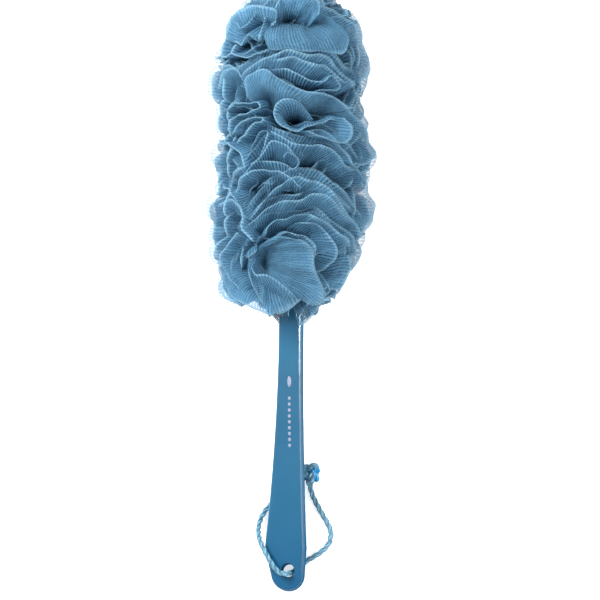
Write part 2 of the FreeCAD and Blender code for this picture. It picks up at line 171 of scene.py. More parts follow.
def noise(tree, scale, detail=3, vector=None, **inputs):
    given = {"Scale": scale, "Detail": detail, **inputs}
    if vector is not None:
        given["Vector"] = vector
    return node(tree, "ShaderNodeTexNoise", given).outputs["Fac"]


def bump(tree, height, distance, strength=1.0, normal=None):
    given = {"Height": height, "Distance": distance, "Strength": strength}
    if normal is not None:
        given["Normal"] = normal
    return node(tree, "ShaderNodeBump", given).outputs[0]


def finish_material(tree, shader):
    node(tree, "ShaderNodeOutputMaterial", {"Surface": shader})


def object_space(tree):
    return node(tree, "ShaderNodeTexCoord").outputs["Object"]


# ---------------------------------------------------------------- mesh helpers

def smooth_line(points, count):
    """count points, evenly spaced, along a smooth curve through the given ones."""
    given = np.asarray(points, float)
    ends = np.vstack((2 * given[0] - given[1], given, 2 * given[-1] - given[-2]))
    steps = np.linspace(0, 1, 17)[:-1][:, None]
    runs = []
    for a, b, c, d in zip(ends[:-3], ends[1:-2], ends[2:-1], ends[3:]):
        runs.append(
            0.5 * (2 * b + (c - a) * steps + (2 * a - 5 * b + 4 * c - d) * steps**2
                   + (3 * b - a - 3 * c + d) * steps**3)
        )
    return even_spacing(np.vstack((*runs, given[-1:])), count)


def line_length(line):
    return np.linalg.norm(np.diff(line, axis=0), axis=1).sum()


def even_spacing(line, count):
    reach = np.concatenate(([0], np.cumsum(np.linalg.norm(np.diff(line, axis=0), axis=1))))
    at = np.linspace(0, reach[-1], count)
    return np.stack([np.interp(at, reach, line[:, k]) for k in range(3)], axis=1)


def make_object(name, vertices, faces, uvs=None, colours=None):
    """A smooth shaded mesh. uvs and colours are given for each vertex."""
    mesh = bpy.data.meshes.new(name)
    faces = np.asarray(faces)
    mesh.vertices.add(len(vertices))
    mesh.vertices.foreach_set("co", np.asarray(vertices, np.float32).ravel())
    mesh.loops.add(faces.size)
    mesh.loops.foreach_set("vertex_index", faces.astype(np.int32).ravel())
    mesh.polygons.add(len(faces))
    mesh.polygons.foreach_set("loop_start", np.arange(0, faces.size, 4, dtype=np.int32))
    mesh.update(calc_edges=True)
    mesh.polygons.foreach_set("use_smooth", np.ones(len(faces), bool))
    if uvs is not None:
        layer = mesh.uv_layers.new(name="cloth")
        layer.data.foreach_set("uv", np.asarray(uvs, np.float32)[faces.ravel()].ravel())
    if colours is not None:
        layer = mesh.color_attributes.new(name="net", type="FLOAT_COLOR", domain="POINT")
        layer.data.foreach_set("color", np.asarray(colours, np.float32).ravel())
    mesh.validate()
    made = bpy.data.objects.new(name, mesh)
    SCENE.collection.objects.link(made)
    return made


# ---------------------------------------------------------------- hanging cord

CORD_DIAMETER = 3.5 * MM
CORD_LAY = 17 * MM
STRANDS = 3
# The strands of a loose twist stand this much further out than the cord's measured width.
LOOSE_TWIST = 1.08
KNOT_ROPE = 4.6 * MM
KNOT_LAY = 15 * MM
TIP_WIDTH = 5.2 * MM
TIP_LAY = 22 * MM
TIP_POINTS = 40
# A melted tip is widest at this one of its points.
TIP_BULGE = 33
CORD_ROUTE = [
    (6.6, -130.6, 4.4), (-1.6, -137.4, 2.2), (-11.0, -143.8, 1.8), (-19.8, -150.8, 1.8),
    (-26.0, -159.6, 3.2), (-26.9, -169.0, 9.0), (-24.7, -176.8, 17.0), (-20.6, -184.2, 22.8),
    (-15.8, -193.6, 20.8), (-9.6, -202.4, 17.6), (-2.6, -203.6, 17.4), (-2.1, -201.3, 10.0),
    (-2.3, -200.9, 1.9), (3.4, -195.2, 1.85), (10.6, -190.6, 1.8), (18.6, -185.8, 1.8), (24.8, -179.2, 1.8),
    (25.7, -170.2, 1.8), (20.9, -161.6, 1.8), (14.6, -151.4, 1.8), (9.6, -141.2, 2.6),
    (8.8, -132.0, 4.4),
]


def nurbs_line(name, route):
    """The points of one open NURBS spline that has the route's points, in mm, as its control points."""
    curve = bpy.data.curves.new(name, "CURVE")
    curve.dimensions = "3D"
    curve.resolution_u = 24
    spline = curve.splines.new("NURBS")
    spline.points.add(len(route) - 1)
    for point, place in zip(spline.points, route):
        point.co = (*(Vector(place) * MM), 1)
    spline.order_u = 3
    spline.use_endpoint_u = True
    holder = bpy.data.objects.new(name, curve)
    SCENE.collection.objects.link(holder)
    seen = holder.evaluated_get(bpy.context.evaluated_depsgraph_get())
    mesh = bpy.data.meshes.new_from_object(seen)
    line = np.array([v.co for v in mesh.vertices])
    bpy.data.meshes.remove(mesh)
    bpy.data.objects.remove(holder)
    bpy.data.curves.remove(curve)
    return line


def side_vectors(line, closed):
    """Two vectors across the line at each point, carried along it without twisting."""
    if closed:
        ahead = np.roll(line, -1, axis=0) - np.roll(line, 1, axis=0)
    else:
        ahead = np.gradient(line, axis=0)
    ahead /= np.linalg.norm(ahead, axis=1)[:, None]
    first = unit(np.cross(ahead[0], (0.3, 0.2, 0.93)))
    sides = [first]
    for way in ahead[1:]:
        sides.append(unit(sides[-1] - np.dot(sides[-1], way) * way))
    sides = np.array(sides)
    return sides, np.cross(ahead, sides)


def strand_outline(angle, strands, radius):
    """How far out the surface of a twisted rope is at an angle round it: the strands stand out as lobes."""
    share = math.pi / strands
    away = (angle + share) % (2 * share) - share
    centre, strand = 0.56 * radius, 0.5 * radius
    return centre * np.cos(away) + np.sqrt(np.maximum(strand**2 - (centre * np.sin(away)) ** 2, 0))


def rope(name, line, diameter, lay, strands=STRANDS, closed=False, ends=None, around=36):
    """A twisted rope along the line. ends gives the width of its first and last points, from 0 to 1."""
    rows = len(line)
    first, second = side_vectors(line, closed)
    reach = np.concatenate(([0], np.cumsum(np.linalg.norm(np.diff(line, axis=0), axis=1))))
    turns = reach / lay
    if closed:
        turns *= round(turns[-1] * strands) / strands / max(turns[-1], 1e-9)
    angle = np.linspace(0, 2 * math.pi, around, endpoint=False)[None, :]
    twist = angle - 2 * math.pi * turns[:, None]
    out = strand_outline(twist, strands, diameter / 2)
    if ends is not None:
        out = out * np.asarray(ends)[:, None]
    rings = line[:, None] + out[..., None] * (
        np.cos(angle)[..., None] * first[:, None] + np.sin(angle)[..., None] * second[:, None]
    )
    index = np.arange(rows * around).reshape(rows, around)
    below = index if closed else index[:-1]
    above = np.roll(index, -1, axis=0) if closed else index[1:]
    faces = np.stack(
        (below, np.roll(below, -1, axis=1), np.roll(above, -1, axis=1), above), axis=-1
    ).reshape(-1, 4)
    share = 2 * math.pi / strands
    uvs = np.stack(((twist % share) / share + 0 * out, reach[:, None] / MM + 0 * out), axis=-1)
    return make_object(name, rings.reshape(-1, 3), faces, uvs.reshape(-1, 2))


def round_ends(count, rows, start=True, end=True):
    """Widths that close a rope's ends in a dome over the given number of rows."""
    dome = np.sqrt(1 - np.linspace(1, 0.02, rows) ** 2)
    widths = np.ones(count)
    if start:
        widths[:rows] = dome
    if end:
        widths[-rows:] = dome[::-1]
    return widths


def cord_material(name, dark, light, gloss):
    """Twisted shiny filaments: fine fibres along each strand, with painted shade that darkens the grooves
    between them.
    """
    material, tree = new_material(name)
    uv = node(tree, "ShaderNodeUVMap", uv_map="cloth").outputs[0]
    parts = node(tree, "ShaderNodeSeparateXYZ", {0: uv}).outputs
    across = maths(tree, "MULTIPLY", parts[0], 9.0)
    slant = maths(tree, "ADD", across, maths(tree, "MULTIPLY", parts[1], 0.55))
    fibres = node(tree, "ShaderNodeCombineXYZ", {0: slant, 1: maths(tree, "MULTIPLY", parts[1], 0.12)})
    fine = noise(tree, 2.2, 4, fibres.outputs[0], Roughness=0.65)
    coarse = noise(tree, 160, 2, object_space(tree))
    # Painted shade in the grooves between the strands.
    painted_groove_shade = maths(tree, "ABSOLUTE", maths(tree, "SUBTRACT", parts[0], 0.5))
    painted_groove_shade = remap(tree, painted_groove_shade, 0.12, 0.46, 0, 1, smooth=True)
    tint = mix_colour(tree, remap(tree, fine, 0.40, 0.60, 0, 1), dark, light)
    tint = mix_colour(tree, maths(tree, "MULTIPLY", coarse, 0.2), tint, light)
    tint = mix_colour(tree, maths(tree, "MULTIPLY", painted_groove_shade, 0.92), tint, dark)
    rough = remap(tree, fine, 0.2, 0.8, gloss + 0.14, gloss)
    normal = bump(tree, fine, 0.25 * MM, 0.8)
    shader = node(tree, "ShaderNodeBsdfPrincipled", {
        "Base Color": tint, "Roughness": rough, "Normal": normal,
        "Specular IOR Level": 0.35,
    })
    finish_material(tree, shader.outputs[0])
    return material


CORD_BLUE = cord_material("cord_filaments", (0.003, 0.055, 0.135), (0.28, 0.64, 0.78), 0.30)
MELT_BLUE = cord_material("cord_melted_end", (0.004, 0.22, 0.52), (0.05, 0.45, 0.76), 0.2)


def make_cord():
    line = nurbs_line("cord_route", CORD_ROUTE)
    spacing = 0.4 * MM
    count = int(line_length(line) / spacing)
    line = even_spacing(line, count)
    cord = rope("hang_cord_rope", line, LOOSE_TWIST * CORD_DIAMETER, CORD_LAY, ends=round_ends(count, 5))
    cord.data.materials.append(CORD_BLUE)
    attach(cord, "hang_loop")
    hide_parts("hang_cord")
    return cord, line


def make_knot():
    """An overhand knot in the two ends of the cord, pulled tight, and its two melted tips."""
    middle = np.array((9.9, -128.8, 6.8)) * MM
    reach = np.array((4.2, 7.2, 3.8)) * MM
    t = np.linspace(0, 2 * math.pi, 240, endpoint=False) + 0.6
    loops = np.stack((
        np.sin(t) + 2 * np.sin(2 * t),
        np.cos(t) - 2 * np.cos(2 * t),
        -3 * np.sin(3 * t),
    ), axis=1)
    line = middle + loops / 3 * reach
    knot = rope("hang_knot_turns", line, KNOT_ROPE, KNOT_LAY, closed=True)
    knot.data.materials.append(CORD_BLUE)
    tips = []
    for number, route in enumerate((
        [(10.4, -126.4, 8.4), (13.2, -129.6, 7.6), (14.4, -134.6, 4.6)],
        [(10.6, -122.8, 7.0), (13.4, -124.0, 7.2), (14.6, -129.0, 5.6)],
    ), 1):
        tip = smooth_line(np.array(route) * MM, TIP_POINTS)
        swell = 1 + 0.2 * np.exp(-((np.arange(TIP_POINTS) - TIP_BULGE) / 5.0) ** 2)
        ends = swell * round_ends(TIP_POINTS, 7)
        end = rope(f"cord_tip_{number}", tip, TIP_WIDTH, TIP_LAY, ends=ends)
        end.data.materials.append(MELT_BLUE)
        tips.append(end)
    pieces = [knot, *tips]
    for piece in pieces:
        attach(piece, "hang_loop")
    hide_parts("hang_knot")
    return pieces


cord, cord_line = make_cord()
knot_pieces = make_knot()


# ---------------------------------------------------------------- handle

def handle_material():
    """Glossy moulded plastic with faint scuffs, and painted shade that makes it a little darker and less
    green towards the tail.
    """
    material, tree = new_material("moulded_plastic")
    place = object_space(tree)
    parts = node(tree, "ShaderNodeSeparateXYZ", {0: place}).outputs
    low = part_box("handle")[0]
    # Painted shade: the colour darkens towards the tail, where the bowed face turns away from the light.
    down = remap(tree, parts[1], low.y, TIE_CENTRES[0][1], 0, 1)
    colour = ramp(tree, down, [
        (0.0, (0.007, 0.082, 0.180)), (0.3, (0.014, 0.098, 0.190)), (0.7, (0.022, 0.095, 0.170)),
        (1.0, (0.028, 0.160, 0.300)),
    ])
    cloud = noise(tree, 28, 4, place)
    colour = mix_colour(tree, remap(tree, cloud, 0.35, 0.75, 0, 0.10), colour, (0.05, 0.22, 0.38))
    stretched = node(tree, "ShaderNodeMapping", {"Vector": place, "Scale": (900, 40, 900)}).outputs[0]
    scuff = noise(tree, 1.0, 5, stretched, Roughness=0.6)
    scuffed = remap(tree, scuff, 0.45, 0.8, 0.15, 0.24)
    rough = maths(tree, "ADD", scuffed, remap(tree, cloud, 0.3, 0.8, 0, 0.07))
    peel = noise(tree, 420, 2, place)
    normal = bump(tree, peel, 0.05 * MM, 0.35)
    normal = bump(tree, scuff, 0.006 * MM, 0.25, normal)
    facing = node(tree, "ShaderNodeTexCoord").outputs["Normal"]
    upright = node(tree, "ShaderNodeSeparateXYZ", {0: facing}).outputs[2]
    shine = remap(tree, upright, 0.2, 0.6, 0, 0.4)
    shader = node(tree, "ShaderNodeBsdfPrincipled", {
        "Base Color": colour, "Roughness": rough, "Normal": normal, "Specular IOR Level": shine,
    })
    finish_material(tree, shader.outputs[0])
    return material


def set_material(thing, material):
    thing.data.materials.clear()
    thing.data.materials.append(material)


set_material(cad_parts["handle"], handle_material())


def ink_material():
    material, tree = new_material("printed_ink")
    worn = noise(tree, 900, 3, object_space(tree))
    wear = remap(tree, worn, 0.35, 0.7, 0, 1)
    colour = mix_colour(tree, wear, (0.27, 0.24, 0.33), (0.14, 0.24, 0.36))
    shader = node(tree, "ShaderNodeBsdfPrincipled", {
        "Base Color": colour, "Roughness": remap(tree, worn, 0.3, 0.7, 0.4, 0.6),
        "Normal": bump(tree, worn, 0.02 * MM, 0.5),
    })
    finish_material(tree, shader.outputs[0])
    return material


def make_mark():
    """A plain printed row of pips on the handle's face, the first one larger, a hair proud of it."""
    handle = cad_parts["handle"].data
    surface = [tuple(polygon.vertices) for polygon in handle.polygons]
    tree = BVHTree.FromPolygons([vertex.co for vertex in handle.vertices], surface)
    rings, around, thick = 4, 20, 0.06 * MM
    vertices, faces = [], []
    pips = [(-0.4, -66.0, 1.5, 4.0)] + [(-0.4, -78.0 - 4.2 * k, 1.1, 1.3) for k in range(9)]
    angle = np.linspace(0, 2 * math.pi, around, endpoint=False)
    for across, along, half_width, half_length in pips:
        start = len(vertices)
        for ring in range(rings):
            share = (1.0, 0.97, 0.5, 0.01)[ring]
            rise = (-0.2 * MM, thick, thick, thick)[ring]
            for a in angle:
                x = (across + share * half_width * math.cos(a)) * MM
                y = (along + share * half_length * math.sin(a)) * MM
                hit = tree.ray_cast(Vector((x, y, 1)), Vector((0, 0, -1)))[0]
                vertices.append((x, y, hit.z + rise))
        index = start + np.arange(rings * around).reshape(rings, around)
        beside = np.roll(index, -1, 1)
        faces.append(np.stack((index[:-1], beside[:-1], beside[1:], index[1:]), -1))
    mark = make_object("handle_mark", vertices, np.concatenate([f.reshape(-1, 4) for f in faces]))
    mark.data.materials.append(ink_material())
    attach(mark, "brush")


make_mark()


# ---------------------------------------------------------------- netting

RANDOM = np.random.default_rng(41)
# Every bunch is gathered from the same cut of flattened netting tube.
NET_CELL = 1.2 * MM
RIB_PITCH = 2.6 * MM


def netting_material():
    """Knitted net: crossing threads with holes between them, pleated in ribs from the root to the lip, with
    painted shade that darkens it near the stem and a painted highlight along the lips.
    """
    material, tree = new_material("knitted_netting")
    uv = node(tree, "ShaderNodeUVMap", uv_map="cloth").outputs[0]
    parts = node(tree, "ShaderNodeSeparateXYZ", {0: uv}).outputs
    net = node(tree, "ShaderNodeAttribute", attribute_name="net").outputs
    density, lip, tone = node(tree, "ShaderNodeSeparateColor", {"Color": net["Color"]}).outputs[:3]
    # The fourth channel is how far out from the stem a point lies. It drives painted shade that darkens the
    # netting near the stem.
    reach = net["Alpha"]
    place = object_space(tree)
    wobble = maths(tree, "MULTIPLY", noise(tree, 90, 2, place), 2.2)
    turn = math.pi / (NET_CELL / MM)
    threads = []
    for way in (1, -1):
        lean = maths(tree, "MULTIPLY", parts[1], way * 0.8)
        phase = maths(tree, "MULTIPLY", maths(tree, "ADD", parts[0], lean), turn)
        wave = maths(tree, "ABSOLUTE", maths(tree, "SINE", maths(tree, "ADD", phase, wobble)))
        threads.append(remap(tree, wave, 0.25, 0.62, 1, 0, smooth=True))
    thread = maths(tree, "MAXIMUM", *threads)
    rib_turn = maths(tree, "MULTIPLY", parts[0], 2 * math.pi / (RIB_PITCH / MM))
    rib_phase = maths(tree, "ADD", rib_turn, maths(tree, "MULTIPLY", wobble, 2.0))
    rib = remap(tree, maths(tree, "SINE", rib_phase), -1, 1, 0, 1)
    cloud = noise(tree, 45, 3, place)
    mottle = noise(tree, 420, 3, place)
    pleats = node(tree, "ShaderNodeMapping", {"Vector": uv, "Scale": (0.5, 0.13, 1)}).outputs[0]
    pleat = remap(tree, noise(tree, 1.0, 3, pleats, Roughness=0.6), 0.36, 0.64, 0, 1, smooth=True)
    deep, mid, pale = (0.002, 0.054, 0.155), (0.034, 0.178, 0.352), (0.22, 0.48, 0.68)
    colour = mix_colour(tree, remap(tree, cloud, 0.3, 0.7, 0, 1), deep, mid)
    colour = mix_colour(tree, maths(tree, "MULTIPLY", rib, 0.36), colour, pale)
    colour = mix_colour(tree, remap(tree, rib, 0, 0.55, 0.6, 0), colour, deep)
    colour = mix_colour(tree, maths(tree, "MULTIPLY", pleat, 0.22), colour, pale)
    colour = mix_colour(tree, remap(tree, pleat, 0, 0.6, 0.35, 0), colour, deep)
    colour = mix_colour(tree, maths(tree, "MULTIPLY", thread, 0.42), colour, pale)
    colour = mix_colour(tree, maths(tree, "MULTIPLY", tone, 0.25), colour, pale)
    # Painted highlight: a lighter line along each lip, where the rolled rim of a fold catches light. The
    # lip also makes the net denser just below it.
    colour = mix_colour(tree, maths(tree, "MULTIPLY", lip, 0.85), colour, (0.36, 0.64, 0.82))
    # Painted shade: netting nearer the stem is darkened towards a deep blue.
    colour = mix_colour(tree, remap(tree, reach, 0.35, 0.93, 0.85, 0), colour, (0.002, 0.030, 0.080))
    height = maths(tree, "ADD", maths(tree, "MULTIPLY", rib, 0.55), maths(tree, "MULTIPLY", thread, 0.3))
    height = maths(tree, "ADD", height, maths(tree, "MULTIPLY", mottle, 0.3))
    height = maths(tree, "ADD", height, maths(tree, "MULTIPLY", pleat, 0.6))
    normal = bump(tree, height, 0.6 * MM, 0.9)
    cloth = node(tree, "ShaderNodeBsdfPrincipled", {
        "Base Color": colour, "Roughness": remap(tree, mottle, 0.3, 0.7, 0.5, 0.75), "Normal": normal,
        "Specular IOR Level": 0.08,
    })
    glow = node(tree, "ShaderNodeBsdfTranslucent", {"Color": colour, "Normal": normal})
    body = node(tree, "ShaderNodeMixShader", {0: 0.2, 1: cloth.outputs[0], 2: glow.outputs[0]})
    spread = remap(tree, thread, 0, 1, 0.45, 1.45)
    spread = maths(tree, "MULTIPLY", spread, remap(tree, rib, 0, 1, 0.6, 1.3))
    spread = maths(tree, "ADD", spread, maths(tree, "MULTIPLY", lip, 0.7))
    cover = maths(tree, "MINIMUM", maths(tree, "MULTIPLY", density, spread), 1.0)
    clear = node(tree, "ShaderNodeBsdfTransparent")
    shader = node(tree, "ShaderNodeMixShader", {0: cover, 1: clear.outputs[0], 2: body.outputs[0]})
    finish_material(tree, shader.outputs[0])
    return material


HULL_PLACES = (-4, 4, 12, 21, 30, 47, 60, 190, 206, 218, 229)
HULL_RADII = (16, 23, 32, 42, 48, 54, 58, 58, 53, 47, 37)


def hull(along):
    """The greatest radius of the netting at a place along the stem, both in mm."""
    return float(np.interp(along, HULL_PLACES, HULL_RADII))


# The netting's uneven swell, and how far from the stem and the tail end it takes to grow.
RUMPLE = 1.1 * MM
FADE = 20 * MM
# The ribs' greatest height, in mm.
RIB_HEIGHT = 0.36
# The first and last places along the stem, in mm, that a fold's lip may reach.
LIP_PLACES = (1, 227)


def rumple(points):
    """Moves points by a gentle uneven swell that fades out towards the stem and the tail end."""
    along = (points - NECK) @ STEM
    out = np.linalg.norm(points - NECK - along[:, None] * STEM, axis=1)
    fade = np.clip((out - FADE) / FADE, 0, 1) * np.clip(along / FADE, 0, 1)
    x, y, z = (points / MM).T
    swell = np.stack((
        np.sin(0.17 * y + 0.09 * z + 1.1) + 0.35 * np.sin(0.33 * y - 0.21 * x + 0.4),
        np.sin(0.16 * x - 0.12 * z + 2.3) + 0.35 * np.sin(0.31 * x + 0.24 * y + 5.1),
        np.sin(0.15 * y + 0.17 * x + 0.7) + 0.35 * np.sin(0.34 * x - 0.27 * y + 3.6),
    ), axis=1)
    return points + RUMPLE * fade[:, None] * swell


class Net:
    """The folds of one bunch, gathered into one mesh."""

    def __init__(self):
        self.vertices = []
        self.faces = []
        self.uvs = []
        self.colours = []
        self.count = 0

    def add(self, vertices, faces, uvs, colours):
        vertices = rumple(vertices)
        along = (vertices - NECK) @ STEM
        out = np.linalg.norm(vertices - NECK - along[:, None] * STEM, axis=1)
        # The fourth colour channel is each point's share of the head's radius, used by the material for
        # painted shade near the stem.
        colours[:, 3] = np.clip(out / np.interp(along / MM, HULL_PLACES, HULL_RADII) / MM, 0, 1)
        self.vertices.append(vertices)
        self.faces.append(faces + self.count)
        self.uvs.append(uvs)
        self.colours.append(colours)
        self.count += len(vertices)


NETS = [Net() for _ in range(BUNCHES)]


def settle(points):
    """Netting that would pass through the table lies on it instead."""
    lay = 5 * MM
    low = points[..., 2] < lay
    points[..., 2] = np.where(low, lay * np.exp(np.minimum(points[..., 2] / lay, 1) - 1), points[..., 2])
    return points


def fold(
    bunch, throat, lip, density=0.46, puff=1.3, wave=0.8, spread=0.6, fine=0.68, rows=18, tone=None,
    curl=1.5,
):
    """One fold of netting, a flat bag of two layers. It comes out of the bunch's tie, passes the throat and
    opens to a rounded lip. throat is a point and lip a list of points. puff is half the bag's thickness in
    mm, wave how far its face rolls, and fine the spacing of its points along the lip, in mm."""
    lip = np.asarray(lip)
    lip = smooth_line(lip, max(14, int(line_length(smooth_line(lip, 60)) / (fine * MM))))
    count, length = len(lip), line_length(lip)
    middle = lip.mean(axis=0)
    tie = TIE_CENTRES[bunch]
    outward = throat - tie
    outward = unit(outward - np.dot(outward, STEM) * STEM)
    root = tie + ROOT_RADIUS * outward
    from_middle = lip - middle
    narrow = 3.0 * MM / max(np.linalg.norm(from_middle, axis=1).max(), MM)
    down = (1 - (1 - np.linspace(0, 1, rows)) ** 1.35)[:, None, None]
    face = (
        (1 - down) ** 2 * (root + narrow * from_middle)
        + 2 * down * (1 - down) * (throat + spread * from_middle)
        + down**2 * lip
    )
    u = np.linspace(0, 1, count)[None, :]
    v = down[:, :, 0]
    along_u = np.gradient(face, axis=1)
    along_v = np.gradient(face, axis=0)
    normal = np.cross(along_u, along_v)
    normal /= np.maximum(np.linalg.norm(normal, axis=2), 1e-12)[..., None]
    phase = RANDOM.uniform(0, 2 * math.pi, 4)
    waves = max(1.0, length / (24 * MM))
    roll = (
        1.2 * np.sin(2 * math.pi * waves * u + phase[0] + 1.2 * v)
        + 0.5 * np.sin(2 * math.pi * 2.1 * waves * u + phase[1] - 0.8 * v)
        + 0.5 * np.sin(2 * math.pi * 4.3 * waves * u + phase[2]) * (1 - v)
    )
    deep = RIB_HEIGHT * (fine < 1) * (0.64 + 0.36 * np.sin(11 * u + 6 * v + phase[1]))
    bent = 1.2 * np.sin(7 * u + phase[0]) + 0.7 * np.sin(6 * v + 9 * u + phase[2])
    ribs = deep * np.sin(2 * math.pi * length / RIB_PITCH * u + phase[3] + bent)
    lean = curl * np.clip((v - 0.72) / 0.28, 0, 1) ** 2
    face = face + normal * ((wave * roll * v**1.2 + ribs * v + lean) * MM)[..., None]
    closed = np.maximum(1 - v**7, 0) ** 0.7 * np.minimum(v / 0.12, 1)
    sides = np.sqrt(np.maximum(1 - np.abs(2 * u - 1) ** 16, 0))
    half = puff * MM * closed * sides * (0.45 + 0.55 * v)
    front = face + normal * half[..., None]
    behind = face - normal * half[..., None]
    index = np.arange(rows * count).reshape(rows, count)
    inner = np.zeros((rows, count), bool)
    inner[1:-1, 1:-1] = True
    other = index.copy()
    other[inner] = rows * count + np.arange(inner.sum())
    quads = []
    for grid, turned in ((index, False), (other, True)):
        quad = np.stack((grid[:-1, :-1], grid[:-1, 1:], grid[1:, 1:], grid[1:, :-1]), -1).reshape(-1, 4)
        quads.append(quad[:, ::-1] if turned else quad)
    vertices = settle(np.concatenate((front.reshape(-1, 3), behind[inner])))
    depth = line_length(face[:, count // 2])
    pair = np.stack((u * length / MM + 0 * v, v * depth / MM + 0 * u), axis=-1) + 50 * RANDOM.random(2)
    uvs = np.concatenate((pair.reshape(-1, 2), pair[inner]))
    if tone is None:
        tone = RANDOM.uniform(0, 0.6)
    # How near the lip a point is, for both the denser hem and the painted highlight along the lip.
    lip_hem_and_highlight = np.clip(1 - (1 - v) * depth / (2.0 * MM), 0, 1) ** 0.7 + 0 * u
    colour = np.stack((density + 0 * lip_hem_and_highlight, lip_hem_and_highlight, tone + 0 * lip_hem_and_highlight, 1 + 0 * lip_hem_and_highlight), axis=-1)
    colours = np.concatenate((colour.reshape(-1, 4), colour[inner]))
    NETS[bunch].add(vertices, np.concatenate(quads), uvs, colours)


def petal(bunch, throat, lip, under=1, **looks):
    """A fold on the face of the head, from points of head_point, and the folds that show under its lip."""
    fold(bunch - 1, head_point(*throat), [head_point(*point) for point in lip], **looks)
    looks.pop("density", None)
    for layer in range(1, under + 1):
        beyond = 6.0 * layer + RANDOM.uniform(-1, 1)
        slide = RANDOM.uniform(-3, 3)
        outer = []
        for across, along, radius in lip:
            way = unit(np.array((across - throat[0], along - throat[1]), float))
            x = across + beyond * way[0] - slide * way[1]
            y = along + beyond * way[1] + slide * way[0]
            y = min(max(y, LIP_PLACES[0]), LIP_PLACES[1])
            most = hull(y) - 5
            outer.append(head_point(min(max(x, -most), most), y, min(radius - 5 * layer, most)))
        fold(bunch - 1, head_point(*throat[:2], throat[2] - 4), outer, **{**looks, "rows": 12, "fine": 0.9})


